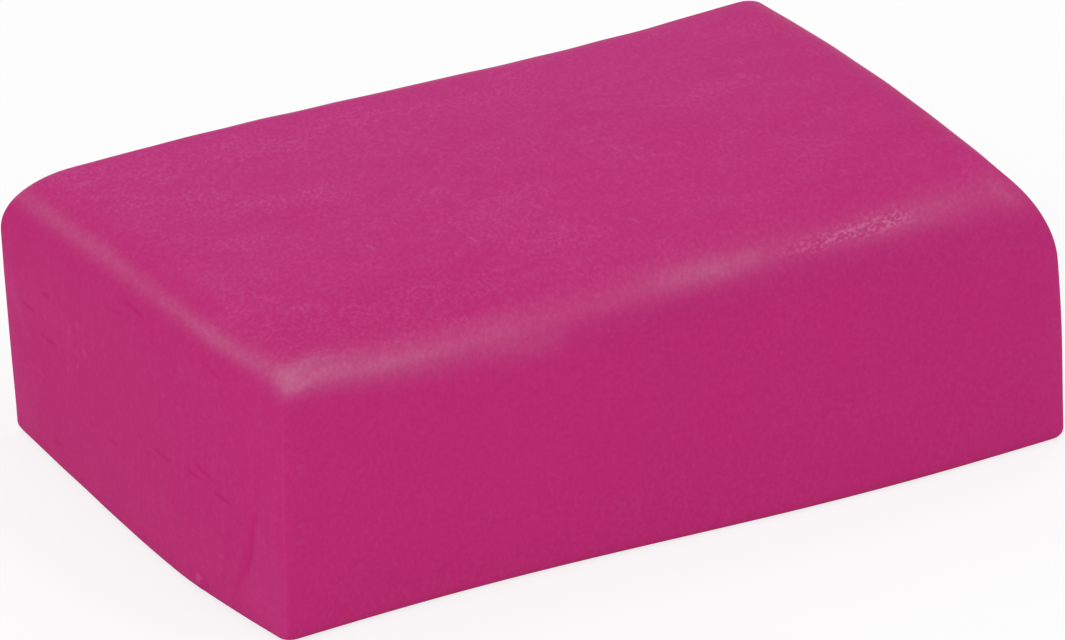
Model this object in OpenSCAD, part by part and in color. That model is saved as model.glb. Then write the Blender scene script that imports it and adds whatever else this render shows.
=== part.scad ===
// Kneaded eraser: one block of soft putty rubber, as it comes out of its wrapper.
//
// The block was rolled into a slab and cut into pieces, so its base is flat, its four
// walls each lean and bow a little on their own, and the knife has drawn the top edges
// down into rounded shoulders that are tight at one corner and wide at the next.
//
// The skin is one loft. Rings of points climb from the base round to the crown, and
// every ring runs the same way round the block, so ring after ring joins up into a
// closed solid. Each ring is first placed on a straight block with rounded shoulders,
// and settle() then moves every point by the leans, bows and lifts of the real shape.
//
// X runs along the block, Y from the front wall to the back wall and Z up. The origin
// is on the base, in the middle of the block's outer box.

/* [Block] */

// Length of the straight block, from end to end
length = 42; // [30:0.5:60]
// Width of the straight block, from front to back
width = 27; // [20:0.5:40]
// Height of the straight block
height = 13.3; // [9:0.1:25]
// Radius of the four upright edges
upright_radius = 0.5; // [0.2:0.1:2]
// Radius of the edge round the base
base_radius = 0.5; // [0.2:0.1:2]
// Radius of the four corners of the top, where two shoulders meet
hip_radius = 1.8; // [0.2:0.1:4]

/* [Shoulders: how far in they reach] */

// Reach of the front shoulder at the left end
front_reach_left = 1.8; // [0.8:0.1:6]
// Reach of the front shoulder at the right end
front_reach_right = 5.3; // [0.8:0.1:6]
// Reach of the back shoulder at the left end
back_reach_left = 2; // [0.8:0.1:6]
// Reach of the back shoulder at the right end
back_reach_right = 3.6; // [0.8:0.1:6]
// Reach of the left shoulder at the front
left_reach_front = 3.5; // [0.8:0.1:6]
// Reach of the left shoulder at the back
left_reach_back = 3.7; // [0.8:0.1:6]
// Reach of the right shoulder at the front
right_reach_front = 3.4; // [0.8:0.1:6]
// Reach of the right shoulder at the back
right_reach_back = 3.5; // [0.8:0.1:6]
// Swing of the front shoulder's reach, tighter in its left half and wider in its right
front_reach_swing = 0.3; // [0:0.05:0.5]

/* [Shoulders: how far down they fall] */

// Fall of the shoulders at the front left corner
fall_front_left = 1.6; // [0.8:0.1:5]
// Fall of the shoulders at the front right corner
fall_front_right = 4.4; // [0.8:0.1:5]
// Fall of the shoulders at the back left corner
fall_back_left = 2.9; // [0.8:0.1:5]
// Fall of the shoulders at the back right corner
fall_back_right = 1.4; // [0.8:0.1:5]
// Swing of the front shoulder's fall, deeper in its left half and shallower in its right
front_fall_swing = 0.3; // [0:0.05:0.5]
// Fullness of the shoulder's curve: 2 is a quarter ellipse, and more is squarer
shoulder_fullness = 2.1; // [1.6:0.1:3.5]

/* [Top] */

// Lift of the front left corner, below zero where the corner is low
lift_front_left = -0.25; // [-1:0.05:1]
// Lift of the front right corner
lift_front_right = 0.35; // [-1:0.05:1]
// Lift of the back left corner
lift_back_left = -0.25; // [-1:0.05:1]
// Lift of the back right corner
lift_back_right = 0.65; // [-1:0.05:1]
// Rise of the middle of the top
crown = 0.2; // [0:0.05:1]
// Rise of the middle of the right edge of the top
right_edge_rise = 0.35; // [-0.5:0.05:1]
// Dip in the front edge's left half, with a rise as high in its right half
front_edge_swing = 0.2; // [-0.5:0.05:0.5]
// Rise in the back edge's left half, with a dip as deep in its right half
back_edge_swing = 0.1; // [-0.5:0.05:0.5]

/* [Left end] */

// Belly of the left end, out of its straight line, along the base
left_belly = 1.1; // [0:0.05:2.5]
// Distance of the belly's fullest point from the front wall
left_belly_place = 8; // [4:0.5:16]
// How softly the belly bends at its fullest point
left_belly_softness = 0.3; // [0.1:0.05:0.5]
// Bow of the left end along the top
left_top_bow = 0.15; // [0:0.05:1]
// Overhang of the left end's top past its base
left_overhang = 0.35; // [-1:0.05:1]
// How far the left end's top is pinched in at the front corner
left_pinch = 0.7; // [0:0.05:2]
// Distance from the front wall at which the pinch has run out
left_pinch_run = 5; // [1:0.5:12]

/* [Right end] */

// Setback of the right end's top from its base
right_setback = 0.9; // [-1:0.05:2]
// Bow of the right end along the top
right_top_bow = 0.5; // [0:0.05:1]
// Bulge of the right end half way up
right_bulge = 0.2; // [0:0.05:1]
// Skew of the right end: its back sticks out and its front falls short by this much
right_skew = 0.2; // [-1:0.05:1]

/* [Front and back walls] */

// Swing of the front wall along the base, in on its left half and out on its right
front_swing = 0.4; // [-1:0.05:1]
// Setback of the front wall's top from its base
front_setback = 0.1; // [-1:0.05:1]
// Swing of the back wall, out in its left half and in on its right
back_swing = 0.25; // [-1:0.05:1]
// Overhang of the back wall's top past its base
back_overhang = 0.35; // [-1:0.05:1]

/* [Smoothness] */

// Steps along each long wall
long_steps = 24; // [8:1:40]
// Steps along each end
end_steps = 16; // [6:1:30]
// Steps round each upright edge
edge_steps = 3; // [2:1:6]
// Steps up the walls
wall_steps = 5; // [3:1:12]
// Steps round the base edge
base_steps = 3; // [2:1:6]
// Steps over the shoulders
shoulder_steps = 9; // [4:1:16]
// Steps from the shoulders in to the middle of the top
crown_steps = 6; // [3:1:12]

/* [Hidden] */

// Colour of the putty
putty_colour = [0.71, 0.17, 0.43];
// Room round the block in the box that trims its base to one flat face
trim_room = 10;

half_length = length / 2;
half_width = width / 2;

// Value between two ends of an edge, where t runs from 0 to 1
function between(first, last, t) = first + (last - first) * t;

// Value between the four corners of the block, by the shares along and across it
function over_corners(front_left, front_right, back_left, back_right, along, across) =
    between(between(front_left, front_right, along), between(back_left, back_right, along), across);

// A single arch and a full swing, both zero at the ends of an edge
function arch(t) = sin(180 * t);
function swing(t) = sin(360 * t);

// A bend that climbs straight to 1 at its peak, falls straight again and is soft on top
function bend(t, peak, softness) =
    let(climb = t / peak, descent = (1 - t) / (1 - peak), half_gap = (climb - descent) / 2)
    (climb + descent) / 2 - sqrt(half_gap * half_gap + softness * softness);

// Shares of a place along and across the straight block, from 0 to 1
function share_along(x) = min(1, max(0, x / length + 0.5));
function share_across(y) = min(1, max(0, y / width + 0.5));

// Points of one corner of the plan: a quarter circle about its centre
function corner_arc(centre, radius, from_angle) =
    [for (step = [0:edge_steps])
        let(angle = from_angle + 90 * step / edge_steps)
        centre + radius * [cos(angle), sin(angle)]];

// Points strictly between the ends of one straight wall
function wall_run(from, to, steps) =
    [for (step = [1:steps - 1]) from + (to - from) * step / steps];

// Plan of the straight block, anticlockwise from the back of the left end, with corners
// of that radius
function plan(radius) =
    let(corner_x = half_length - radius, corner_y = half_width - radius)
    concat(
        wall_run([-half_length, corner_y], [-half_length, -corner_y], end_steps),
        corner_arc([-corner_x, -corner_y], radius, 180),
        wall_run([-corner_x, -half_width], [corner_x, -half_width], long_steps),
        corner_arc([corner_x, -corner_y], radius, 270),
        wall_run([half_length, -corner_y], [half_length, corner_y], end_steps),
        corner_arc([corner_x, corner_y], radius, 0),
        wall_run([corner_x, half_width], [-corner_x, half_width], long_steps),
        corner_arc([-corner_x, corner_y], radius, 90)
    );

// Reach of the shoulder on each wall, by the share along or across the block
function front_reach(along) =
    between(front_reach_left, front_reach_right, along) - front_reach_swing * swing(along);
function back_reach(along) = between(back_reach_left, back_reach_right, along);
function left_reach(across) = between(left_reach_front, left_reach_back, across);
function right_reach(across) = between(right_reach_front, right_reach_back, across);

// Fall of the shoulder at a place on the plan
function fall(along, across) =
    over_corners(fall_front_left, fall_front_right, fall_back_left, fall_back_right, along, across)
    + front_fall_swing * swing(along) * (1 - across);

// One point of the straight block. inward is the share of the shoulder's reach that the
// ring has gone in, trim is how far the base edge draws it in, and spread is 1 on the
// walls and shoulders and shrinks to 0 at the middle of the top.
function straight_point(place, inward, trim, spread, z) =
    let(
        along = share_along(place.x),
        across = share_across(place.y),
        left = -half_length + left_reach(across) * inward + trim,
        right = half_length - right_reach(across) * inward - trim,
        front = -half_width + front_reach(along) * inward + trim,
        back = half_width - back_reach(along) * inward - trim
    )
    [
        between(left, right, 0.5 + spread * place.x / length),
        between(front, back, 0.5 + spread * place.y / width),
        z
    ];

// Lift of the top at a place on the plan
function top_lift(along, across) =
    over_corners(lift_front_left, lift_front_right, lift_back_left, lift_back_right, along, across)
    + crown * 16 * along * (1 - along) * across * (1 - across)
    + right_edge_rise * arch(across) * along
    - front_edge_swing * swing(along) * (1 - across)
    + back_edge_swing * swing(along) * across;

// Share of the pinch at the front of the left end, strongest at the corner
function pinch(across) = pow(max(0, 1 - across * width / left_pinch_run), 2);

// Moves a point of the straight block to its place on the real one
function settle(point) =
    let(
        along = share_along(point.x),
        across = share_across(point.y),
        up = point.z / height,
        bend_place = left_belly_place / width,
        left_out = left_belly * bend(across, bend_place, left_belly_softness) * (1 - up)
            + left_top_bow * arch(across) * up
            + (left_overhang - left_pinch * pinch(across)) * up,
        right_out = right_top_bow * arch(across) * up
            - right_setback * up
            + right_bulge * arch(up)
            + right_skew * (2 * across - 1),
        front_out = -front_swing * swing(along) * (1 - up) - front_setback * up,
        back_out = back_swing * swing(along) + back_overhang * up
    )
    point + [
        between(-left_out, right_out, along),
        between(-front_out, back_out, across),
        up * top_lift(along, across)
    ];

// The rings, from the base up and over to the last one round the middle of the top
base_rings = [for (step = [0:base_steps - 1])
    let(angle = 90 * step / base_steps)
    [for (place = plan(upright_radius))
        straight_point(place, 0, base_radius * (1 - sin(angle)), 1, base_radius * (1 - cos(angle)))]];
wall_rings = [for (step = [0:wall_steps])
    [for (place = plan(upright_radius))
        let(wall_top = height - fall(share_along(place.x), share_across(place.y)))
        straight_point(place, 0, 0, 1, between(base_radius, wall_top, step / wall_steps))]];
shoulder_rings = [for (step = [1:shoulder_steps])
    let(
        angle = 90 * step / shoulder_steps,
        inward = 1 - pow(max(0, cos(angle)), 2 / shoulder_fullness),
        below = 1 - pow(sin(angle), 2 / shoulder_fullness)
    )
    [for (place = plan(between(upright_radius, hip_radius, inward)))
        straight_point(place, inward, 0, 1,
            height - below * fall(share_along(place.x), share_across(place.y)))]];
crown_rings = [for (step = [1:crown_steps - 1])
    [for (place = plan(hip_radius)) straight_point(place, 1, 0, 1 - step / crown_steps, height)]];

rings = concat(base_rings, wall_rings, shoulder_rings, crown_rings);
around = len(rings[0]);
ring_count = len(rings);
loose_points = [for (ring = rings, point = ring) settle(point)];
middle_point = settle(straight_point([0, 0], 1, 0, 0, height));

// The block's middle, so that it can be put over the origin
all_x = [for (point = loose_points) point.x];
all_y = [for (point = loose_points) point.y];
centre_shift = [(min(all_x) + max(all_x)) / 2, (min(all_y) + max(all_y)) / 2, 0];
skin_points = [for (point = concat(loose_points, [middle_point])) point - centre_shift];

// The faces: the base, a band of triangles between each pair of rings, and the middle
base_face = [[for (step = [0:around - 1]) step]];
band_faces = [for (ring = [0:ring_count - 2], step = [0:around - 1])
    let(
        next = (step + 1) % around,
        low = ring * around + step,
        low_next = ring * around + next,
        high = low + around,
        high_next = low_next + around
    )
    each [[low, high, high_next], [low, high_next, low_next]]];
last_ring = (ring_count - 1) * around;
middle_faces = [for (step = [0:around - 1])
    [last_ring + step, len(loose_points), last_ring + (step + 1) % around]];

// Everything above the plane that the block lies on
module above_base()
{
    trim_height = height + trim_room;
    translate([0, 0, trim_height / 2])
        cube([length + 2 * trim_room, width + 2 * trim_room, trim_height], center = true);
}

module eraser_block()
{
    color(putty_colour)
        intersection()
        {
            polyhedron(points = skin_points, faces = concat(base_face, band_faces, middle_faces), convexity = 2);
            above_base();
        }
}

eraser_block();
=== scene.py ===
"""A kneaded eraser: one block of soft putty rubber, lying on its base on a pale table.

The block is modelled in millimetres, on the straight block that the slab was cut to, and moved to
the frame's place and metres when its mesh is made.
"""
import math

import bpy
import numpy as np
from mathutils import Matrix, Vector


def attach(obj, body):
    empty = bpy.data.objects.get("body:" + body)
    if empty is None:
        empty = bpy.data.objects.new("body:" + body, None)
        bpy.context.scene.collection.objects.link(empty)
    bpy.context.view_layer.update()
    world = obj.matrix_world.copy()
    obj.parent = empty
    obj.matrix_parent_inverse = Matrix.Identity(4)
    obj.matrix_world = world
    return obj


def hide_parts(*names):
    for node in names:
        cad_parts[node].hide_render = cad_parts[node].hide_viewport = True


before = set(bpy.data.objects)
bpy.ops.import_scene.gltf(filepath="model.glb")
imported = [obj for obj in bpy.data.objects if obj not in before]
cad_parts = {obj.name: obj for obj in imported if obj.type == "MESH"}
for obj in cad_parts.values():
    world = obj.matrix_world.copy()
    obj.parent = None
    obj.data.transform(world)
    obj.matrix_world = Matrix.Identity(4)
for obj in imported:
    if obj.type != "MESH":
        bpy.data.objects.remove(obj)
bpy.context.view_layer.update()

# ---------------------------------------------------------------------------------------------
# The block
#
# The real piece is a slab of pigmented putty rubber, cut to length with a knife. It is one solid
# lump: a flat base, four walls that lean and bow, and a top whose edges were drawn down by the
# cut and then rounded by handling. Nothing is fixed to it.
# ---------------------------------------------------------------------------------------------

MM = 0.001

# The straight block, before it settles
LENGTH, WIDTH, HEIGHT = 42.0, 27.0, 13.3
UPRIGHT_RADIUS, BASE_RADIUS, HIP_RADIUS = 0.5, 0.5, 1.8

# How far the top shoulders reach in and fall, from corner to corner
FRONT_REACH, BACK_REACH = (1.8, 5.3), (2.0, 3.6)
LEFT_REACH, RIGHT_REACH = (3.5, 3.7), (3.4, 3.5)
FRONT_REACH_SWING = 0.3
FALL = ((1.6, 4.4), (2.9, 1.4))
FRONT_FALL_SWING = 0.3
SHOULDER_FULLNESS = 2.1

# How the top lifts, and how the walls lean, bow and swing
LIFT = ((-0.25, 0.35), (-0.25, 0.65))
CROWN, RIGHT_EDGE_RISE, FRONT_EDGE_SWING, BACK_EDGE_SWING = 0.2, 0.35, 0.2, 0.1
LEFT_BELLY, LEFT_BELLY_PLACE, LEFT_BELLY_SOFTNESS = 1.1, 8.0, 0.3
LEFT_TOP_BOW, LEFT_OVERHANG, LEFT_PINCH, LEFT_PINCH_RUN = 0.15, 0.35, 0.7, 5.0
RIGHT_SETBACK, RIGHT_TOP_BOW, RIGHT_BULGE, RIGHT_SKEW = 0.9, 0.5, 0.2, 0.2
FRONT_SWING, FRONT_SETBACK = 0.4, 0.1
BACK_SWING, BACK_OVERHANG = 0.25, 0.35

# Steps of the skin: along, across, and up the base edge, the wall and the shoulder
STEPS_ALONG, STEPS_ACROSS = 236, 152
STEPS_BASE, STEPS_WALL, STEPS_SHOULDER = 4, 42, 24


def between(first, last, share):
    """First plus the share of the way to last."""
    return first + (last - first) * share


def over_corners(corners, along, across):
    """Bilinear blend of ((front left, front right), (back left, back right))."""
    (front_left, front_right), (back_left, back_right) = corners
    return between(between(front_left, front_right, along), between(back_left, back_right, along), across)


def arch(share):
    """Half a sine wave, zero at both ends."""
    return np.sin(np.pi * share)


def swing(share):
    """A whole sine wave, up in the first half and down in the second."""
    return np.sin(2 * np.pi * share)


def bend(share, peak, softness):
    """The lower of two straight lines that meet at the peak, rounded off by the softness."""
    climb, descent = share / peak, (1 - share) / (1 - peak)
    return (climb + descent) / 2 - np.hypot((climb - descent) / 2, softness)


def fall(along, across):
    """How far the shoulder drops below the straight top, at a place on the plan."""
    return over_corners(FALL, along, across) + FRONT_FALL_SWING * swing(along) * (1 - across)


def rounded_plan(along, across, radius):
    """Maps the unit square to the block's plan: each corner square, as wide as the radius, is
    squeezed along rays from its centre so that its outer sides become a quarter circle."""
    x, y = (along - 0.5) * LENGTH, (across - 0.5) * WIDTH
    past_x = np.maximum(np.abs(x) - (LENGTH / 2 - radius), 0)
    past_y = np.maximum(np.abs(y) - (WIDTH / 2 - radius), 0)
    squeeze = 1 - np.maximum(past_x, past_y) / np.maximum(np.hypot(past_x, past_y), 1e-9)
    squeeze = np.where((past_x > 0) & (past_y > 0), squeeze, 0)
    return x - np.sign(x) * past_x * squeeze, y - np.sign(y) * past_y * squeeze


def straight_block(x, y, z, inward, trim):
    """Places plan points on the straight block. Each wall's edge is drawn in by the share inward of
    its shoulder's reach, plus the trim, and the plan is spread evenly between the four edges."""
    along, across = x / LENGTH + 0.5, y / WIDTH + 0.5
    left = -LENGTH / 2 + between(*LEFT_REACH, across) * inward + trim
    right = LENGTH / 2 - between(*RIGHT_REACH, across) * inward - trim
    front_reach = between(*FRONT_REACH, along) - FRONT_REACH_SWING * swing(along)
    front = -WIDTH / 2 + front_reach * inward + trim
    back = WIDTH / 2 - between(*BACK_REACH, along) * inward - trim
    return np.stack([between(left, right, along), between(front, back, across), z + 0 * x], axis=-1)


def settle(points):
    """Moves points of the straight block to the real one: each wall goes out or in by its own lean,
    bow, swing and pinch, fading to nothing at the opposite wall, and the top lifts with the height."""
    x, y, z = points[..., 0], points[..., 1], points[..., 2]
    along, across = np.clip(x / LENGTH + 0.5, 0, 1), np.clip(y / WIDTH + 0.5, 0, 1)
    up = z / HEIGHT
    left_out = LEFT_BELLY * bend(across, LEFT_BELLY_PLACE / WIDTH, LEFT_BELLY_SOFTNESS) * (1 - up)
    pinch = LEFT_PINCH * np.maximum(0, 1 - across * WIDTH / LEFT_PINCH_RUN) ** 2
    left_out = left_out + (LEFT_TOP_BOW * arch(across) + LEFT_OVERHANG - pinch) * up
    right_out = (RIGHT_TOP_BOW * arch(across) - RIGHT_SETBACK) * up + RIGHT_BULGE * arch(up)
    right_out = right_out + RIGHT_SKEW * (2 * across - 1)
    front_out = -FRONT_SWING * swing(along) * (1 - up) - FRONT_SETBACK * up
    back_out = BACK_SWING * swing(along) + BACK_OVERHANG * up
    lift = over_corners(LIFT, along, across) + CROWN * 16 * along * (1 - along) * across * (1 - across)
    lift = lift + RIGHT_EDGE_RISE * arch(across) * along
    lift = lift + swing(along) * (BACK_EDGE_SWING * across - FRONT_EDGE_SWING * (1 - across))
    moved = [between(-left_out, right_out, along), between(-front_out, back_out, across), up * lift]
    return points + np.stack(moved, axis=-1)


def plan_ring():
    """Shares along and across at the rim of the top's grid, anticlockwise from the front left."""
    i, j = np.arange(STEPS_ALONG), np.arange(STEPS_ACROSS)
    along = np.concatenate([i, 0 * j + STEPS_ALONG, STEPS_ALONG - i, 0 * j]) / STEPS_ALONG
    across = np.concatenate([0 * i, j, 0 * i + STEPS_ACROSS, STEPS_ACROSS - j]) / STEPS_ACROSS
    return along, across


def skin():
    """The block's skin as one closed grid: rings up the base edge, the walls and the shoulders, then
    a sheet over the top that shares the last ring. The corners' radius grows over the shoulders.
    Returns the places on the straight block, each one's place on the plan, its corner radius, its
    turn over the shoulder (0 on the walls, 1 on the top) and the faces."""
    along, across = plan_ring()
    x, y = rounded_plan(along, across, UPRIGHT_RADIUS)
    drop = fall(x / LENGTH + 0.5, y / WIDTH + 0.5)
    rings = []
    for turn in np.linspace(0, np.pi / 2, STEPS_BASE, endpoint=False):
        rise_of_edge, inset = BASE_RADIUS * (1 - np.cos(turn)), BASE_RADIUS * (1 - np.sin(turn))
        rings.append(straight_block(x, y, rise_of_edge, 0, inset))
    for climb in np.linspace(0, 1, STEPS_WALL, endpoint=False):
        rings.append(straight_block(x, y, between(BASE_RADIUS, HEIGHT - drop, climb), 0, 0))
    plans = [np.stack([x, y, UPRIGHT_RADIUS + 0 * x, 0 * x])] * len(rings)
    for turn in np.linspace(0, np.pi / 2, STEPS_SHOULDER, endpoint=False):
        inward = 1 - np.cos(turn) ** (2 / SHOULDER_FULLNESS)
        below = 1 - np.sin(turn) ** (2 / SHOULDER_FULLNESS)
        radius = between(UPRIGHT_RADIUS, HIP_RADIUS, inward)
        ring_x, ring_y = rounded_plan(along, across, radius)
        drop = fall(ring_x / LENGTH + 0.5, ring_y / WIDTH + 0.5)
        rings.append(straight_block(ring_x, ring_y, HEIGHT - below * drop, inward, 0))
        plans.append(np.stack([ring_x, ring_y, radius + 0 * x, turn / (np.pi / 2) + 0 * x]))
    i, j = np.meshgrid(np.arange(STEPS_ALONG + 1), np.arange(STEPS_ACROSS + 1))
    top_x, top_y = rounded_plan(i / STEPS_ALONG, j / STEPS_ACROSS, HIP_RADIUS)
    sheet = straight_block(top_x, top_y, HEIGHT, 1, 0)
    places = np.concatenate([np.concatenate(rings), sheet.reshape(-1, 3), [[0, 0, 0]]])
    flat_x, flat_y = top_x.ravel(), top_y.ravel()
    plans.append(np.stack([flat_x, flat_y, HIP_RADIUS + 0 * flat_x, 1 + 0 * flat_x]))
    plans.append(np.array([[0.0], [0.0], [HIP_RADIUS], [0.0]]))
    plan_x, plan_y, radii, turns = np.concatenate(plans, axis=1)

    around, row = len(x), STEPS_ALONG + 1
    ids = np.arange(len(rings) * around).reshape(len(rings), around)
    sheet_ids = len(rings) * around + np.arange(row * (STEPS_ACROSS + 1)).reshape(-1, row)
    rim_i, rim_j = np.rint(along * STEPS_ALONG).astype(int), np.rint(across * STEPS_ACROSS).astype(int)
    ids = np.concatenate([ids, sheet_ids[rim_j, rim_i][None]])
    low, high = ids[:-1], ids[1:]
    walls = np.stack([low, np.roll(low, -1, 1), np.roll(high, -1, 1), high], axis=-1).reshape(-1, 4)
    top = np.stack([sheet_ids[:-1, :-1], sheet_ids[:-1, 1:], sheet_ids[1:, 1:], sheet_ids[1:, :-1]], axis=-1)
    quads = np.concatenate([walls, top.reshape(-1, 4)])
    middle = len(places) - 1
    base = np.stack([0 * ids[0] + middle, np.roll(ids[0], -1), ids[0]], axis=-1)
    return places, plan_x, plan_y, radii, turns, quads, base


def vertex_normals(points, quads):
    """Sums the cross products of each quad's diagonals at its corners, and makes them unit length."""
    corners = points[quads]
    facing = np.cross(corners[:, 2] - corners[:, 0], corners[:, 3] - corners[:, 1])
    total = np.zeros_like(points)
    for corner in range(4):
        for axis in range(3):
            total[:, axis] += np.bincount(quads[:, corner], facing[:, axis], len(points))
    return total / np.maximum(np.linalg.norm(total, axis=1, keepdims=True), 1e-12)


places, plan_x, plan_y, radii, turns, quads, base_triangles = skin()
heights = places[:, 2]

# How much of each wall a place belongs to, and how much of the top: the upright edges are shared
TOP_STARTS, TOP_RUN = 0.5, 0.35
on_top = np.clip((turns - TOP_STARTS) / TOP_RUN, 0, 1)
on_left, on_right = (np.clip((side * plan_x - LENGTH / 2) / radii + 1, 0, 1) ** 2 for side in (-1, 1))
on_front, on_back = (np.clip((side * plan_y - WIDTH / 2) / radii + 1, 0, 1) ** 2 for side in (-1, 1))


def patch(value, centre, spread):
    """A soft bump: one at the centre, falling off as a Gaussian of that spread."""
    return np.exp(-(((value - centre) / spread) ** 2) / 2)


def step(value, start, end):
    """Nothing up to the start and one from the end on, with a smooth S between them."""
    share = np.clip((value - start) / (end - start), 0, 1)
    return share * share * (3 - 2 * share)


def in_segment(u, v, rows):
    """Where a place lies in a segment (start u, start v, end u, end v, ...): its offset along from the
    middle, its offset across, and the segment's half length."""
    run_u, run_v = (rows[..., 2] - rows[..., 0]) / 2, (rows[..., 3] - rows[..., 1]) / 2
    half = np.hypot(run_u, run_v)
    off_u, off_v = u - rows[..., 0] - run_u, v - rows[..., 1] - run_v
    return (off_u * run_u + off_v * run_v) / half, (off_v * run_u - off_u * run_v) / half, half


def nearest_segment(u, v, rows):
    """The distance to the nearest of the segments, and its number."""
    along, across, half = in_segment(u[:, None], v[:, None], rows)
    distance = np.hypot(np.maximum(np.abs(along) - half, 0), across)
    return distance.min(axis=1), distance.argmin(axis=1)


# Relief on the left end, in mm from the back wall and up from the base: the fold that the knife
# left near the front edge, a faint ridge near the back, and a notch in the base edge with a raised
# lip on its back side. The very edge of the base stays plain, so that it lies flat
FOLD = np.array([(25.2, 8.4, 25.0, 6.0), (25.0, 6.0, 24.6, 4.8), (24.6, 4.8, 24.45, 3.7),
                 (24.45, 3.7, 24.05, 2.7), (24.05, 2.7, 23.25, 1.55)])
FOLD_STRENGTHS = np.array([0.3, 0.7, 1, 1, 0.7])
FOLD_DEPTH, FOLD_SPREAD = 0.1, 0.18
BACK_FOLD = np.array([(0.9, 8.5, 2.6, 6.0)])
BACK_FOLD_RISE, BACK_FOLD_SPREAD = 0.03, 0.3
NOTCH_PLACE, NOTCH_HEIGHT, NOTCH_SPREAD, NOTCH_DEPTH = 20.6, 0.7, 0.22, 0.11
LIP_PLACE, LIP_HEIGHT, LIP_SPREAD, LIP_RISE = 20.15, 0.6, 0.12, 0.12
PLAIN_EDGE = 0.3

# The unevenness of a lump that has been handled: long shallow waves in six directions
WAVES = ((0.9, 0.3, 0.5, 0.4), (-0.5, 0.8, 0.3, 1.9), (0.3, -0.4, 1.1, 3.1), (1.3, 0.7, -0.6, 4.4),
         (-0.8, 1.4, 0.9, 5.2), (1.7, -0.9, 0.4, 0.8))
WAVE_HEIGHT = 0.006

from_back = WIDTH / 2 - plan_y
relief = sum(np.sin(places @ np.array(wave[:3]) + wave[3]) for wave in WAVES) * WAVE_HEIGHT
fold_distance, fold_part = nearest_segment(from_back, heights, FOLD)
fold_strength = FOLD_STRENGTHS[fold_part]
relief -= on_left * FOLD_DEPTH * fold_strength * patch(fold_distance, 0, FOLD_SPREAD)
back_fold_distance, _ = nearest_segment(from_back, heights, BACK_FOLD)
relief += on_left * BACK_FOLD_RISE * patch(back_fold_distance, 0, BACK_FOLD_SPREAD)
notch = patch(heights, NOTCH_HEIGHT, NOTCH_SPREAD) * patch(from_back, NOTCH_PLACE, NOTCH_SPREAD)
notch_lip = patch(heights, LIP_HEIGHT, NOTCH_SPREAD) * patch(from_back, LIP_PLACE, LIP_SPREAD)
relief += on_left * (LIP_RISE * notch_lip - NOTCH_DEPTH * notch)
relief *= step(heights, 0, PLAIN_EDGE)

points = settle(places)
lowest, highest = points.min(0), points.max(0)
centre_shift = np.array([(lowest[0] + highest[0]) / 2, (lowest[1] + highest[1]) / 2, 0])
points = points + vertex_normals(points, quads) * relief[:, None]
points = (points - centre_shift) * MM

# Waxiness: where the shoulders have been burnished by handling. Each row is a patch along a
# shoulder: its place and spread along the wall, its place and spread in the turn, and its amount
FRONT_WAX = ((-21.2, 0.85, 0.35, 0.14, 0.4), (-16.1, 4.9, 0.39, 0.13, 0.75), (-21.7, 3.5, 0.68, 0.14, 0.83),
             (-9.4, 0.7, 0.4, 0.2, 0.16), (-7.5, 0.8, 0.27, 0.11, 0.26), (-12.5, 3.4, 0.73, 0.07, 0.2),
             (2.4, 2.4, 0.51, 0.09, 0.47), (12.6, 2.6, 0.49, 0.07, 0.46), (17.1, 1.8, 0.56, 0.08, 0.28),
             (20.1, 0.7, 0.54, 0.1, 0.42), (5.0, 0.5, 0.5, 0.05, 0.2), (-1.9, 12.0, 0.56, 0.16, 0.3))
LEFT_WAX = ((-14.3, 0.8, 0.66, 0.19, 1.0), (-13.5, 2.8, 0.54, 0.12, 0.44), (-6.5, 4.2, 0.47, 0.07, 0.52),
            (3.5, 1.9, 0.53, 0.05, 0.16), (8.2, 5.9, 0.47, 0.07, 0.4))
BACK_WAX = ((-8.0, 12.0, 0.7, 0.08, 0.3), (-6.0, 3.0, 0.5, 0.1, 0.2), (8.0, 4.0, 0.45, 0.07, 0.08))
RIGHT_WAX = ((0.0, 90.0, 0.5, 0.13, 0.08), (5.0, 4.0, 0.48, 0.09, 0.1))


def wax_over(place, rows):
    """The sum of the patches of those rows, at places along a wall and the turns over its shoulder."""
    return sum(amount * patch(place, at, spread) * patch(turns, turn_at, turn_spread)
               for at, spread, turn_at, turn_spread, amount in rows)


# The waxiness sets the sheen, and in the material it also pulls the colour darker as painted shade on the
# shoulders.
wax_sheen_and_shade = on_front * wax_over(plan_x, FRONT_WAX) + on_left * wax_over(plan_y, LEFT_WAX)
wax_sheen_and_shade += on_back * wax_over(plan_x, BACK_WAX) + on_right * wax_over(plan_y, RIGHT_WAX)

# Hips: the front left corner, which fingers have burnished most, on both sides of its upright edge.
# It gets more sheen, and a painted highlight and painted shade in its colour
HIP_ON_LEFT, HIP_ON_LEFT_PLACE, HIP_ON_LEFT_SPREAD = 0.8, -13.3, 0.6
HIP_ON_FRONT, HIP_ON_FRONT_PLACE, HIP_ON_FRONT_SPREAD = 0.35, -20.7, 0.5
HIP_ON_EDGE, HIP_TURN, HIP_TURN_SPREAD, HIP_WAX = 2, 0.43, 0.13, 0.9
hip_on_left = HIP_ON_LEFT * patch(plan_y, HIP_ON_LEFT_PLACE, HIP_ON_LEFT_SPREAD)
hip_sheen_and_highlight = on_left * (hip_on_left + HIP_ON_EDGE * on_front)
hip_sheen_and_highlight += HIP_ON_FRONT * on_front * patch(plan_x, HIP_ON_FRONT_PLACE, HIP_ON_FRONT_SPREAD)
hip_sheen_and_highlight *= patch(turns, HIP_TURN, HIP_TURN_SPREAD)
wax_sheen_and_shade += HIP_WAX * hip_sheen_and_highlight

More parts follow.
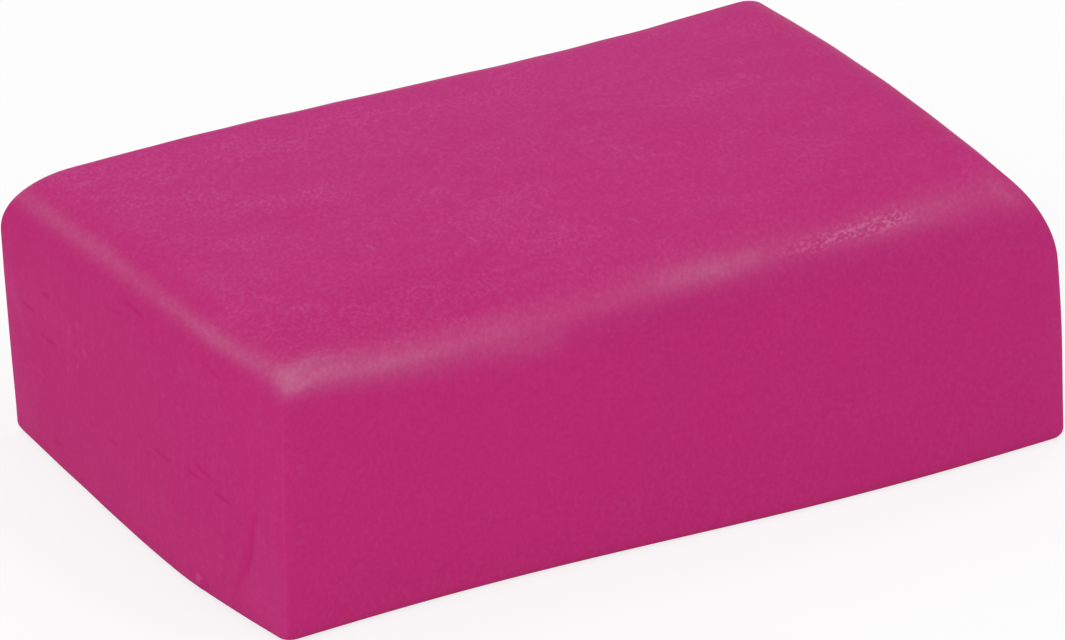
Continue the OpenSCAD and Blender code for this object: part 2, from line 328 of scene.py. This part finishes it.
# Painted shade at the foot of each shoulder: it takes the shoulders' darker, shaded colour but
# no sheen. It is strongest along the right part of the front
FOOT_SHADE, FRONT_FOOT_SHADE, FRONT_FOOT_SHADE_RUN = 0.2, 0.65, (-9, 0)
FOOT_SHADE_TURN, FOOT_SHADE_TURN_SPREAD = 0.26, 0.16
shoulder_foot_shade = on_front * (FOOT_SHADE + FRONT_FOOT_SHADE * step(plan_x, *FRONT_FOOT_SHADE_RUN))
shoulder_foot_shade += FOOT_SHADE * (on_left + on_right + on_back)
shoulder_foot_shade *= patch(turns, FOOT_SHADE_TURN, FOOT_SHADE_TURN_SPREAD)

# Chalky: the top's pale grain, a little thicker towards the left and the back, and eased off at the
# very left rim
CHALK_TO_LEFT, CHALK_TO_BACK, CHALK_RIM = 0.02, 0.01, (-26, -20)
chalky = on_top * (1 - CHALK_TO_LEFT * plan_x + CHALK_TO_BACK * plan_y) * step(plan_x, *CHALK_RIM)

# Dustiness: the pale film that putty takes on, and painted light. On the top it also lightens the
# whole top against the walls as painted light; it is thickest towards the back, and wiped off near the
# front left. A run is where something starts and where it is whole
TOP_DUST_AND_LIGHT, TOP_DUST_TO_BACK = 0.106, 0.045
TOP_WIPED, WIPED_RUN_TO_FRONT, WIPED_RUN_TO_LEFT = 0.13, (6, 13), (4, 16)
top_dust_and_light = TOP_DUST_AND_LIGHT + TOP_DUST_TO_BACK * (plan_y / (WIDTH / 2))
top_dust_and_light -= TOP_WIPED * step(-plan_y, *WIPED_RUN_TO_FRONT) * step(-plan_x, *WIPED_RUN_TO_LEFT)

# The front is fresh, but for two painted highlights that carry the shoulder's highlight down: a
# wedge under its shoulder that deepens to the right and stops short, and a patch high up near the right
# end; and for a film along the right edge
WEDGE_HIGHLIGHT, WEDGE_START, WEDGE_END, WEDGE_STOP = 0.35, -14.4, -5.8, (-6.3, -5.5)
WEDGE_TOP, WEDGE_FOOT, WEDGE_DEEPENING, WEDGE_TURNS = 12.4, 12.2, 1.7, (0.25, 0.5)
RIGHT_HIGHLIGHT, RIGHT_HIGHLIGHT_PLACE, RIGHT_HIGHLIGHT_SPREAD, RIGHT_HIGHLIGHT_CLIMB, RIGHT_HIGHLIGHT_TURNS = 0.2, 18.5, 1.3, (9.5, 12), (0.3, 0.6)
RIGHT_EDGE_DUST, RIGHT_EDGE_RUN = 0.05, (19, 20.5)
highlight_wedge = np.clip((plan_x - WEDGE_START) / (WEDGE_END - WEDGE_START), 0, 1) * (1 - step(plan_x, *WEDGE_STOP))
highlight_wedge = highlight_wedge * step(heights, WEDGE_FOOT - WEDGE_DEEPENING * highlight_wedge, WEDGE_TOP)
highlight_wedge = highlight_wedge * (1 - step(turns, *WEDGE_TURNS))
right_highlight = RIGHT_HIGHLIGHT * patch(plan_x, RIGHT_HIGHLIGHT_PLACE, RIGHT_HIGHLIGHT_SPREAD) * step(heights, *RIGHT_HIGHLIGHT_CLIMB)
front_dust_and_highlights = WEDGE_HIGHLIGHT * highlight_wedge
front_dust_and_highlights += right_highlight * (1 - step(turns, *RIGHT_HIGHLIGHT_TURNS))
front_dust_and_highlights += RIGHT_EDGE_DUST * step(plan_x, *RIGHT_EDGE_RUN)

# The left end is filmed along its foot, its two upright edges and the ridge near its back, less so
# high up towards the back, and is wiped clean in its middle
FOOT_DUST, FOOT_FADE = 0.1, (1, 6)
HIGH_DUST, HIGH_PLACE, HIGH_SPREAD, HIGH_RUN = 0.06, 8, 1.5, (0, 8)
BACK_EDGE_DUST, BACK_EDGE_PLACE, BACK_EDGE_SPREAD, BACK_EDGE_FADE = 0.17, 13.5, 1.3, (7, 10)
FRONT_EDGE_DUST, FRONT_EDGE_RUN = 0.06, (10, 11.5)
MIDDLE_WIPED, MIDDLE_PLACE, MIDDLE_SPREAD, MIDDLE_HEIGHT, MIDDLE_RISE = 0.05, -4, 4, 7, 1.5
RIDGE_DUST, RIDGE_SPREAD, LEFT_WIPED = 0.12, 0.25, 0.02
left_dust = FOOT_DUST * (1 - step(heights, *FOOT_FADE))
left_dust += HIGH_DUST * patch(heights, HIGH_PLACE, HIGH_SPREAD) * step(plan_y, *HIGH_RUN)
back_edge = patch(plan_y, BACK_EDGE_PLACE, BACK_EDGE_SPREAD) * (1 - step(heights, *BACK_EDGE_FADE))
left_dust += BACK_EDGE_DUST * back_edge + FRONT_EDGE_DUST * step(-plan_y, *FRONT_EDGE_RUN)
middle = patch(plan_y, MIDDLE_PLACE, MIDDLE_SPREAD) * patch(heights, MIDDLE_HEIGHT, MIDDLE_RISE)
left_dust -= MIDDLE_WIPED * middle
left_dust += RIDGE_DUST * patch(back_fold_distance, 0, RIDGE_SPREAD) - LEFT_WIPED

# The back and the right end have an even film, a little thicker along the foot
PLAIN_DUST, PLAIN_FOOT_DUST, TOP_DUST_TURNS = 0.1, 0.06, (0.35, 0.95)
plain_dust = PLAIN_DUST + PLAIN_FOOT_DUST * (1 - step(heights, *FOOT_FADE))
wall_dust_and_highlights = on_front * front_dust_and_highlights + on_left * left_dust + (on_back + on_right) * plain_dust
wall_dust_and_highlights = wall_dust_and_highlights / np.maximum(on_front + on_left + on_back + on_right, 1)
dust_and_painted_light = between(wall_dust_and_highlights, top_dust_and_light, step(turns, *TOP_DUST_TURNS))

# Ripples: the stretch of the front shoulder where the burnished skin has wrinkled finely. Their
# crests get painted glints in the colour as well as relief and sheen. It turns further over the
# shoulder as it goes to the right
RIPPLES_START, RIPPLES_END = (5, 9.5), (13.4, 15)
RIPPLE_TURN_AT_MIDDLE, RIPPLE_CLIMB, RIPPLE_SPREAD = 0.4, 0.008, 0.047
ripples_and_glints = on_front * step(plan_x, *RIPPLES_START) * (1 - step(plan_x, *RIPPLES_END))
ripples_and_glints = ripples_and_glints * patch(turns, RIPPLE_TURN_AT_MIDDLE + RIPPLE_CLIMB * plan_x, RIPPLE_SPREAD)

# Nicks and flecks. Each row is a short stroke: its start, its end, its half thickness and its tone,
# below zero for a cut, painted dark as shade in its hollow, and above it for a pale chip. On the ends
# they are in mm from the back wall and up from the base; on the front and top, in mm along and up or
# across from the middle.
LEFT_STROKES = (
    (2.1, 11.0, 3.3, 11.15, 0.07, -0.5), (4.6, 8.95, 5.5, 9.1, 0.09, -0.9),
    (2.25, 7.6, 3.7, 7.6, 0.09, -0.9), (4.0, 6.65, 6.1, 6.75, 0.08, -0.8),
    (13.1, 11.85, 15.1, 11.78, 0.07, -0.9), (11.4, 10.9, 13.0, 11.25, 0.06, -0.4),
    (20.5, 11.87, 22.6, 11.6, 0.07, -0.6), (24.1, 10.8, 25.5, 10.75, 0.07, -0.3),
    (14.4, 5.7, 15.1, 5.72, 0.08, -0.4), (15.1, 5.2, 16.5, 5.22, 0.07, -0.4),
    (16.1, 5.67, 17.9, 5.65, 0.08, -0.9), (19.0, 5.9, 20.5, 5.9, 0.09, -0.9),
    (20.1, 6.45, 21.7, 6.25, 0.1, -0.9), (21.7, 5.72, 23.1, 5.62, 0.09, -0.9),
    (23.4, 5.0, 24.1, 4.98, 0.06, -0.5), (11.2, 4.15, 12.4, 4.25, 0.07, -0.5),
    (9.4, 4.2, 10.2, 4.2, 0.06, -0.35), (4.9, 1.45, 6.1, 1.57, 0.08, -0.5),
    (5.9, 3.9, 6.6, 3.8, 0.06, -0.3), (8.3, 8.6, 8.5, 9.0, 0.12, 0.9), (9.0, 7.45, 9.15, 7.8, 0.14, 1.0),
    (4.6, 7.75, 4.9, 7.85, 0.1, 0.9), (8.1, 6.5, 8.4, 6.75, 0.1, 0.9), (6.9, 5.9, 7.2, 6.05, 0.1, 0.8),
    (17.1, 8.7, 17.3, 8.8, 0.09, 0.7), (18.5, 10.8, 19.2, 10.6, 0.25, 0.3),
    (7.4, 7.2, 7.55, 8.7, 0.15, 0.3), (6.9, 9.0, 7.2, 10.8, 0.15, 0.2), (11.8, 11.2, 12.1, 12.2, 0.1, 0.25),
    (19.7, 2.65, 19.8, 2.8, 0.1, 0.6), (21.8, 2.6, 22.3, 2.7, 0.1, 0.5), (17.0, 2.9, 18.3, 3.1, 0.06, 0.25),
    (2.8, 4.55, 4.4, 4.5, 0.08, 0.3), (16.1, 12.6, 18.3, 12.45, 0.07, -0.6),
    # The last two rows are the notch: a painted highlight on its lip and a line of painted shade beside it.
    (20.05, 0.6, 20.4, 0.95, 0.15, 1.7), (20.75, 0.35, 20.9, 0.8, 0.1, -0.9))
RIGHT_STROKES = (
    (5.2, 10.6, 7.1, 10.75, 0.07, -0.7), (3.1, 7.9, 4.4, 7.85, 0.09, -0.8),
    (8.8, 6.2, 10.7, 6.3, 0.08, -0.8), (14.6, 9.4, 16.0, 9.3, 0.09, -0.7),
    (12.5, 4.1, 13.6, 4.2, 0.07, -0.5), (18.9, 7.4, 20.8, 7.25, 0.08, -0.9),
    (21.9, 5.1, 23.0, 5.15, 0.09, -0.6), (17.3, 2.4, 18.8, 2.5, 0.08, -0.6),
    (6.4, 3.0, 7.4, 3.1, 0.07, -0.4), (10.9, 8.4, 11.1, 8.7, 0.12, 0.8), (19.9, 9.9, 20.1, 10.1, 0.1, 0.7),
    (15.4, 6.3, 15.7, 6.45, 0.1, 0.8))
FRONT_STROKES = (
    (-20.35, 9.55, -19.95, 9.6, 0.06, 0.3), (-20.4, 8.8, -19.9, 8.82, 0.07, 0.5),
    (-20.4, 5.9, -20.0, 5.85, 0.06, 0.3), (-20.45, 5.05, -19.95, 5.0, 0.07, 0.5),
    (3.0, 1.9, 3.5, 1.9, 0.08, 0.2), (13.9, 0.9, 14.4, 0.95, 0.08, 0.25))
TOP_STROKES = (
    (-7.3, -6.4, -7.05, -7.4, 0.1, 0.55), (-2.4, -4.9, -2.1, -6.25, 0.12, 0.55),
    (-1.1, 1.6, -1.0, 0.75, 0.11, 0.45), (5.0, -0.75, 5.2, -2.5, 0.11, 0.45),
    (8.45, -3.4, 8.55, -4.25, 0.1, 0.4), (15.75, -5.1, 15.9, -6.25, 0.1, 0.4),
    (-12.4, -4.0, -12.3, -5.0, 0.11, 0.5), (-1.0, 9.6, -1.2, 8.75, 0.12, 0.45),
    (-3.6, 5.1, -3.9, 4.5, 0.12, 0.45), (-10.7, -1.75, -11.1, -2.6, 0.12, 0.4),
    (17.4, 6.4, 17.45, 5.5, 0.12, 0.45), (16.4, 4.3, 16.35, 3.2, 0.18, 0.6),
    (1.35, -10.4, 1.6, -11.5, 0.1, 0.45), (0.7, -9.3, 1.0, -10.0, 0.11, 0.35),
    (6.3, -2.0, 6.4, -3.1, 0.12, 0.35), (-14.1, 2.1, -14.5, 1.5, 0.12, 0.3),
    (-20.55, -5.1, -20.35, -5.4, 0.12, -0.7), (-20.6, -7.4, -20.4, -7.1, 0.1, -0.4),
    (10.2, -7.6, 10.4, -8.3, 0.1, 0.3), (14.1, 9.0, 13.9, 8.3, 0.12, 0.35),
    (-6.2, 5.9, -5.7, 5.4, 0.1, 0.3))
STROKE_REACH = 0.6


def stroke_places(u, v, rows):
    """For each face's corners (a row of four), the share along the stroke nearest to the face, the
    offset across it in half thicknesses, and its tone. One stroke to a face keeps them straight."""
    rows = np.array(rows)
    distance, nearest = nearest_segment(u.mean(axis=1), v.mean(axis=1), rows)
    along, across, half = in_segment(u, v, rows[nearest][:, None])
    tone = rows[nearest, 5] * (distance < STROKE_REACH)
    return np.stack([along / half, across / rows[nearest, 4][:, None], tone[:, None] + 0 * u], axis=-1)


strokes = np.zeros((len(quads), 4, 3))
for owned, u, v, rows in (
        (on_top, plan_x, plan_y, TOP_STROKES), (on_left, from_back, heights, LEFT_STROKES),
        (on_right, from_back, heights, RIGHT_STROKES), (on_front, plan_x, heights, FRONT_STROKES)):
    mostly_owned = owned[quads].mean(axis=1) > 0.5
    strokes[mostly_owned] = stroke_places(u[quads[mostly_owned]], v[quads[mostly_owned]], rows)
strokes = np.concatenate([strokes.reshape(-1, 3), np.zeros((base_triangles.size, 3))])

# The fields that the material reads. The fold and the notch carry a darker line of painted shade,
# and edge_place is zero along the upright edges, positive on the long walls and negative on the ends
FOLD_SHADE_SPREAD, NOTCH_SHADE = 0.16, 0.15
fold_shade = on_left * fold_strength * patch(fold_distance, 0, FOLD_SHADE_SPREAD) + NOTCH_SHADE * on_left * notch
edge_place = (LENGTH / 2 - np.abs(plan_x)) - (WIDTH / 2 - np.abs(plan_y))
skin_fields = {
    "topness": on_top, "wax_sheen_and_shade": wax_sheen_and_shade, "dust_and_painted_light": dust_and_painted_light, "ripples_and_glints": ripples_and_glints,
    "edge_place": edge_place, "turned_over": turns, "hip_sheen_and_highlight": hip_sheen_and_highlight, "shoulder_foot_shade": shoulder_foot_shade,
    "cut_end": on_left + on_right, "chalky": chalky, "fold_shade": fold_shade}

block_mesh = bpy.data.meshes.new("eraser_skin")
block_mesh.from_pydata(points, [], quads.tolist() + base_triangles.tolist())
block_mesh.polygons.foreach_set("use_smooth", np.ones(len(quads) + len(base_triangles), bool))
for name, values in skin_fields.items():
    block_mesh.attributes.new(name, "FLOAT", "POINT").data.foreach_set("value", values)
block_mesh.attributes.new("strokes", "FLOAT_VECTOR", "CORNER").data.foreach_set("vector", strokes.ravel())
block_mesh.update()
block = bpy.data.objects.new("eraser_skin", block_mesh)
bpy.context.scene.collection.objects.link(block)


class Socket:
    """A node's output, with Python's operators as Math nodes."""

    def __init__(self, tree, output):
        self.tree, self.output = tree, output

    def node(self, kind, inputs=None, output=0, **settings):
        """Adds a node: its settings first, then its sockets' values or links."""
        made = self.tree.nodes.new(kind)
        for name, value in settings.items():
            setattr(made, name, value)
        for name, value in (inputs or {}).items():
            if isinstance(value, Socket):
                self.tree.links.new(value.output, made.inputs[name])
            else:
                made.inputs[name].default_value = value
        return Socket(self.tree, made.outputs[output])

    def maths(self, operation, first, second=0.0):
        """A Math node of that operation on the two values."""
        return self.node("ShaderNodeMath", {0: first, 1: second}, operation=operation)

    def __add__(self, other):
        return self.maths("ADD", self, other)

    __radd__ = __add__

    def __sub__(self, other):
        return self.maths("SUBTRACT", self, other)

    def __rsub__(self, other):
        return self.maths("SUBTRACT", other, self)

    def __mul__(self, other):
        return self.maths("MULTIPLY", self, other)


putty = bpy.data.materials.new("putty_rubber")
putty.use_nodes = True
putty.node_tree.nodes.clear()
shader = Socket(putty.node_tree, None)
on_block = shader.node("ShaderNodeTexCoord", output="Object")


def field(name, output="Fac"):
    """One of the skin's own fields, worked out with its mesh."""
    return shader.node("ShaderNodeAttribute", output=output, attribute_name=name)


def noise(scale, detail=2.0, roughness=0.5, stretch=(1, 1, 1), turned=(0, 0, 0), shift=(0, 0, 0)):
    """Noise of that many features a millimetre, drawn out by the stretch along the turned axes."""
    drawn = {"Vector": on_block, "Location": tuple(0.01 * s for s in shift), "Rotation": turned,
             "Scale": tuple(s * MM / scale for s in stretch)}
    laid = shader.node("ShaderNodeMapping", drawn, vector_type="TEXTURE")
    fed = {"Vector": laid, "Scale": 1.0, "Detail": detail, "Roughness": roughness}
    return shader.node("ShaderNodeTexNoise", fed)


def rise(value, start, end):
    """Nothing up to the start and one from the end on, with a smooth S between them."""
    limits = {"Value": value, "From Min": start, "From Max": end}
    return shader.node("ShaderNodeMapRange", limits, interpolation_type="SMOOTHSTEP")


topness, wax_sheen_and_shade, dust_and_painted_light = field("topness"), field("wax_sheen_and_shade"), field("dust_and_painted_light")
ripples_and_glints, fold_shade, cut_end = field("ripples_and_glints"), field("fold_shade"), field("cut_end")

# The strokes, feathered and ragged at their sides and tapered at their ends, parted into cuts, which
# get painted shade, and chips by their tone
FEATHER, RAGGEDNESS, TAPER = 0.5, 1.4, 0.25
stroke_place = field("strokes", "Vector")
along, across, tone = (shader.node("ShaderNodeSeparateXYZ", {0: stroke_place}, output=i) for i in range(3))
ragged = noise(3.0, 2.0, 0.6, shift=(4, 6, 1)) - 0.5
stroke = rise(1 - across.maths("ABSOLUTE", across * FEATHER + ragged * RAGGEDNESS), 0, 0.9)
stroke = stroke * rise(1 - along.maths("ABSOLUTE", along), 0, TAPER)
cut_with_shade = stroke * tone.maths("MAXIMUM", tone * -1, 0)
chips_and_notch_glint = stroke * tone.maths("MAXIMUM", tone, 0)

# Pigment grain, blotches of dust, chalky clusters, short pale fibres, a painted highlight along the
# upright edges (a thin pale line just on the ends' side of each), the wrinkles of the front shoulder,
# and the streaks that the knife dragged along the ends
GRAIN_TURN, RIPPLE_TURN = (0, 0, -0.52), (0, -0.26, 0.27)
EDGE_HIGHLIGHT_PLACE, EDGE_HIGHLIGHT_SHARPNESS = 0.08, 7
grain = noise(5.0, 3.0, 0.75, stretch=(1, 1.8, 1.3), turned=GRAIN_TURN)
blotches = noise(0.5, 5.0, 0.65, stretch=(2.2, 1, 1.3), turned=(0, 0, -0.1), shift=(3, 7, 2)) - 0.5
clusters = rise(noise(0.35, 2.0, 0.5, stretch=(1.6, 1, 1), shift=(9, 1, 4)), 0.48, 0.68)
fibres = noise(1.4, 1.0, 0.5, stretch=(0.16, 1.4, 1), turned=(0, 0, 0.25), shift=(2, 5, 5))
fibres = rise(fibres, 0.68, 0.76)
edge_place, turned_over = field("edge_place"), field("turned_over")
edge_highlight = rise(1 - edge_place.maths("ABSOLUTE", edge_place + EDGE_HIGHLIGHT_PLACE) * EDGE_HIGHLIGHT_SHARPNESS, 0, 0.7)
edge_highlight = edge_highlight * (1 - rise(turned_over, 0, 0.2))
ripple = noise(6.2, 2.0, 0.5, stretch=(1.5, 1, 1), turned=RIPPLE_TURN)
drag = noise(1.5, 4.0, 0.7, stretch=(1, 0.8, 4), shift=(5, 3, 6))

# Shares of the palest putty: in the grain, the fibres, the chips (one a painted highlight on the
# notch's lip), the painted highlights along the upright edges and on the hip, the painted glints on
# the wrinkles' crests, and the drag streaks, whose mean is taken off so that the ends keep their tone
GRAIN_SHARE, CHALK_SHARE, CLUSTER_SHARE = 0.12, 0.1, 0.19
FIBRE_SHARE, CHIP_SHARE, TOP_CHIP_SHARE, EDGE_HIGHLIGHT_SHARE = 0.1, 0.14, 0.1, 0.03
HIP_HIGHLIGHT_SHARE, RIPPLE_GLINT_SHARE, DRAG_SHARE, DRAG_MEAN = 0.08, 0.26, 0.028, 0.15
chalk = CHALK_SHARE + clusters * CLUSTER_SHARE
pale_grain = rise(grain, 0.34, 0.96) * (GRAIN_SHARE + field("chalky") * chalk) * (1 + blotches)
marks_and_highlights = pale_grain + topness * fibres * FIBRE_SHARE + chips_and_notch_glint * (CHIP_SHARE + topness * TOP_CHIP_SHARE)
marks_and_highlights = marks_and_highlights + edge_highlight * EDGE_HIGHLIGHT_SHARE + field("hip_sheen_and_highlight") * HIP_HIGHLIGHT_SHARE
marks_and_highlights = marks_and_highlights + ripples_and_glints * rise(ripple, 0.46, 0.64) * RIPPLE_GLINT_SHARE
marks_and_highlights = marks_and_highlights + cut_end * (rise(drag, 0.45, 0.8) - DRAG_MEAN) * DRAG_SHARE

# The dust, with the painted light it carries, is blotchy, most of all on the top. It is bluish there
# and warmer on the walls
BLOTCHES, BLOTCHES_ON_TOP, BLOTCHES_ON_ENDS = 0.08, 0.14, 0.08
blotchy_dust_and_light = dust_and_painted_light + blotches * (BLOTCHES + topness * BLOTCHES_ON_TOP + cut_end * BLOTCHES_ON_ENDS)
# Of these colours, the cut colour is painted shade for the cuts and the fold, the waxy colour is painted
# shade on the shoulders, and the walls' and the top's film colours also carry painted highlights and painted
# light.
DEEP_PUTTY, CUT_SHADE_PUTTY = (0.466, 0.0158, 0.152, 1), (0.452, 0.003, 0.128, 1)
SHADED_SHOULDER_PUTTY = (0.411, 0.0165, 0.144, 1)
DUST_AND_LIGHT_TOP_PUTTY, WALL_DUST_AND_HIGHLIGHT_PUTTY, PALE_PUTTY = (0.5, 0.075, 0.31, 1), (0.52, 0.075, 0.26, 1), (0.67, 0.15, 0.37, 1)
CUT_SHADE_SHARE, FOLD_SHADE_SHARE = 0.65, 0.5


def mix(share, first, second):
    """The first colour with a share of the second in it."""
    return shader.node("ShaderNodeMix", {"Factor": share, 6: first, 7: second}, output=2, data_type="RGBA")


# The putty's own colour under its dust and painted light, then painted shade on the shoulders, the
# pale marks with painted highlights among them, and painted shade in the cuts and the fold
shoulder_shade = wax_sheen_and_shade.maths("MINIMUM", wax_sheen_and_shade + field("shoulder_foot_shade"), 1)
coloured = mix(shoulder_shade, mix(blotchy_dust_and_light, DEEP_PUTTY, mix(topness, WALL_DUST_AND_HIGHLIGHT_PUTTY, DUST_AND_LIGHT_TOP_PUTTY)), SHADED_SHOULDER_PUTTY)
coloured = mix(cut_with_shade * CUT_SHADE_SHARE + fold_shade * FOLD_SHADE_SHARE, mix(marks_and_highlights, coloured, PALE_PUTTY), CUT_SHADE_PUTTY)

# The sheen follows the wax. It is broken up by the blotches and the grain, and on the wrinkles their
# crests shine and their troughs don't
SHEEN, SHEEN_BLOTCHES, SHEEN_GRAIN = 0.96, 0.55, 1.05
CREST_SHEEN, TROUGH_LOSS, SMOOTHING = 1.1, 0.5, 0.5
sheen = wax_sheen_and_shade * (SHEEN + blotches * SHEEN_BLOTCHES + (grain - 0.5) * SHEEN_GRAIN)
sheen = sheen * (1 + ripples_and_glints * (rise(ripple, 0.38, 0.62) * CREST_SHEEN - TROUGH_LOSS))
roughness = 1 - sheen.maths("MINIMUM", sheen, 1) * SMOOTHING

# The fine relief, in mm
GRAIN_HEIGHT, BLOTCH_HEIGHT, RIPPLE_HEIGHT, CUT_DEPTH, CHIP_HEIGHT = 0.008, 0.02, 0.045, 0.02, 0.02
height = grain * GRAIN_HEIGHT + blotches * BLOTCH_HEIGHT + ripples_and_glints * ripple * RIPPLE_HEIGHT
height = height - cut_with_shade * CUT_DEPTH + chips_and_notch_glint * CHIP_HEIGHT
bumped = shader.node("ShaderNodeBump", {"Strength": 1.0, "Distance": MM, "Height": height}, output="Normal")

surface = putty.node_tree.nodes.new("ShaderNodeBsdfPrincipled")
surface.inputs["Specular IOR Level"].default_value = 0.2
surface.inputs["Coat Roughness"].default_value = 0.32
surface.inputs["Coat IOR"].default_value = 1.5
worked_out = {"Base Color": coloured, "Roughness": roughness, "Coat Weight": sheen, "Normal": bumped}
for socket, value in worked_out.items():
    putty.node_tree.links.new(value.output, surface.inputs[socket])
surface_output = putty.node_tree.nodes.new("ShaderNodeOutputMaterial")
putty.node_tree.links.new(surface.outputs["BSDF"], surface_output.inputs["Surface"])
block_mesh.materials.append(putty)

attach(block, "root")
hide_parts("eraser_block")

# ---------------------------------------------------------------------------------------------
# The table
#
# A pale, smooth table top that runs out of sight. It isn't part of the object. It shows as plain
# white, with a share of the block's soft shadow on it.
# ---------------------------------------------------------------------------------------------

TABLE_HALF = 1.5
table_mesh = bpy.data.meshes.new("table_top")
table_corners = [(-TABLE_HALF, -TABLE_HALF, 0), (TABLE_HALF, -TABLE_HALF, 0)]
table_corners += [(TABLE_HALF, TABLE_HALF, 0), (-TABLE_HALF, TABLE_HALF, 0)]
table_mesh.from_pydata(table_corners, [], [(0, 1, 2, 3)])
table = bpy.data.objects.new("table_top", table_mesh)
bpy.context.scene.collection.objects.link(table)


def seen_share(tree):
    """One for the rays that carry the white ground to the eye, straight, mirrored or through glass,
    and nothing for the rays that only light the block."""
    path = tree.nodes.new("ShaderNodeLightPath")
    share = Socket(tree, path.outputs["Is Camera Ray"])
    for ray in ("Is Glossy Ray", "Is Transmission Ray"):
        share = share.maths("MAXIMUM", share, Socket(tree, path.outputs[ray]))
    return share


SHADOW_SHARE = 0.25
paper = bpy.data.materials.new("pale_table")
paper.use_nodes = True
paper_nodes, paper_links = paper.node_tree.nodes, paper.node_tree.links
paper_nodes.clear()
matt_white = paper_nodes.new("ShaderNodeBsdfDiffuse")
matt_white.inputs["Color"].default_value = (0.95, 0.95, 0.95, 1)
clean_white = paper_nodes.new("ShaderNodeEmission")
clean_white.inputs["Strength"].default_value = 1.0
paper_seen = seen_share(paper.node_tree)
paper_mix = paper_nodes.new("ShaderNodeMixShader")
paper_links.new((paper_seen * (1 - SHADOW_SHARE)).output, paper_mix.inputs[0])
paper_links.new(matt_white.outputs["BSDF"], paper_mix.inputs[1])
paper_links.new(clean_white.outputs["Emission"], paper_mix.inputs[2])
paper_output = paper_nodes.new("ShaderNodeOutputMaterial")
paper_links.new(paper_mix.outputs["Shader"], paper_output.inputs["Surface"])
table_mesh.materials.append(paper)

# ---------------------------------------------------------------------------------------------
# The studio light
#
# A pale tent all round, and five softboxes: high over the front right, behind the left end,
# overhead, and two weak fills from the front left and low in front. The brightness of each is what
# a white sheet facing it would have.
# ---------------------------------------------------------------------------------------------

SOFTBOX_DISTANCE = 0.7
TENT_BRIGHTNESS = 0.747


def softbox(name, size, direction, brightness):
    """Adds an area light of that size in that direction, turned to face the block. A lamp of P watts
    at d metres lights a white sheet facing it to P over (pi d) squared."""
    lamp = bpy.data.lights.new(name, "AREA")
    lamp.shape, lamp.size, lamp.energy = "SQUARE", size, brightness * (math.pi * SOFTBOX_DISTANCE) ** 2
    holder = bpy.data.objects.new(name, lamp)
    holder.location = Vector(direction).normalized() * SOFTBOX_DISTANCE
    holder.rotation_euler = (-holder.location).to_track_quat("-Z", "Y").to_euler()
    bpy.context.scene.collection.objects.link(holder)


softbox("front_right_softbox", 0.45, (0.453, -0.42, 0.785), 0.14)
softbox("left_back_softbox", 0.8, (-0.42, 0.785, 0.45), 0.08)
softbox("overhead_softbox", 0.38, (-0.46, -0.12, 0.877), 0.094)
softbox("front_left_fill", 0.4, (-0.7, -0.5, 0.5), 0.14)
softbox("low_front_fill", 0.5, (-0.4, -0.9, 0.1), 0.055)

tent = bpy.data.worlds.new("tent")
tent.use_nodes = True
tent_nodes, tent_links = tent.node_tree.nodes, tent.node_tree.links
tent_nodes.clear()
tent_light = tent_nodes.new("ShaderNodeBackground")
tent_light.inputs["Color"].default_value = (1, 1, 1, 1)
tent_light.inputs["Strength"].default_value = TENT_BRIGHTNESS
tent_white = tent_nodes.new("ShaderNodeBackground")
tent_white.inputs["Strength"].default_value = 1.0
tent_white.inputs["Color"].default_value = (1, 1, 1, 1)
tent_seen = seen_share(tent.node_tree)
tent_mix = tent_nodes.new("ShaderNodeMixShader")
tent_output = tent_nodes.new("ShaderNodeOutputWorld")
tent_links.new(tent_seen.output, tent_mix.inputs[0])
tent_links.new(tent_light.outputs[0], tent_mix.inputs[1])
tent_links.new(tent_white.outputs[0], tent_mix.inputs[2])
tent_links.new(tent_mix.outputs[0], tent_output.inputs["Surface"])
bpy.context.scene.world = tent

# ---------------------------------------------------------------------------------------------
# The camera
#
# A long lens, from the block's left front and a little above it. Its angles are in degrees, its
# distance and the place that it aims at in millimetres.
# ---------------------------------------------------------------------------------------------

CAMERA_AZIMUTH, CAMERA_ELEVATION, CAMERA_ROLL = -29.618, 24.366, -0.809
CAMERA_DISTANCE, AIM_HEIGHT, AIM_RIGHT, AIM_UP = 374.87, 6.0, -0.305, -0.141
FRAME_WIDTH, FOCAL_PIXELS = 1065, 8000

azimuth, elevation, roll = (math.radians(a) for a in (CAMERA_AZIMUTH, CAMERA_ELEVATION, CAMERA_ROLL))
level_share, up_share = math.cos(elevation), math.sin(elevation)
towards = Vector((math.sin(azimuth) * level_share, -math.cos(azimuth) * level_share, up_share))
level = Vector((math.cos(azimuth), math.sin(azimuth), 0))
upright = towards.cross(level).normalized()
camera_right = level * math.cos(roll) + upright * math.sin(roll)
camera_up = upright * math.cos(roll) - level * math.sin(roll)
camera_data = bpy.data.cameras.new("camera")
camera_data.sensor_width = 36
camera_data.lens = FOCAL_PIXELS / FRAME_WIDTH * camera_data.sensor_width
camera = bpy.data.objects.new("camera", camera_data)
aim = Vector((0, 0, AIM_HEIGHT)) - Vector(centre_shift)
camera_place = (aim + towards * CAMERA_DISTANCE + camera_right * AIM_RIGHT + camera_up * AIM_UP) * MM
camera_turn = Matrix((camera_right, camera_up, towards)).transposed().to_4x4()
camera.matrix_world = Matrix.Translation(camera_place) @ camera_turn
bpy.context.scene.collection.objects.link(camera)
bpy.context.scene.camera = camera
bpy.context.scene.view_settings.view_transform = "Standard"
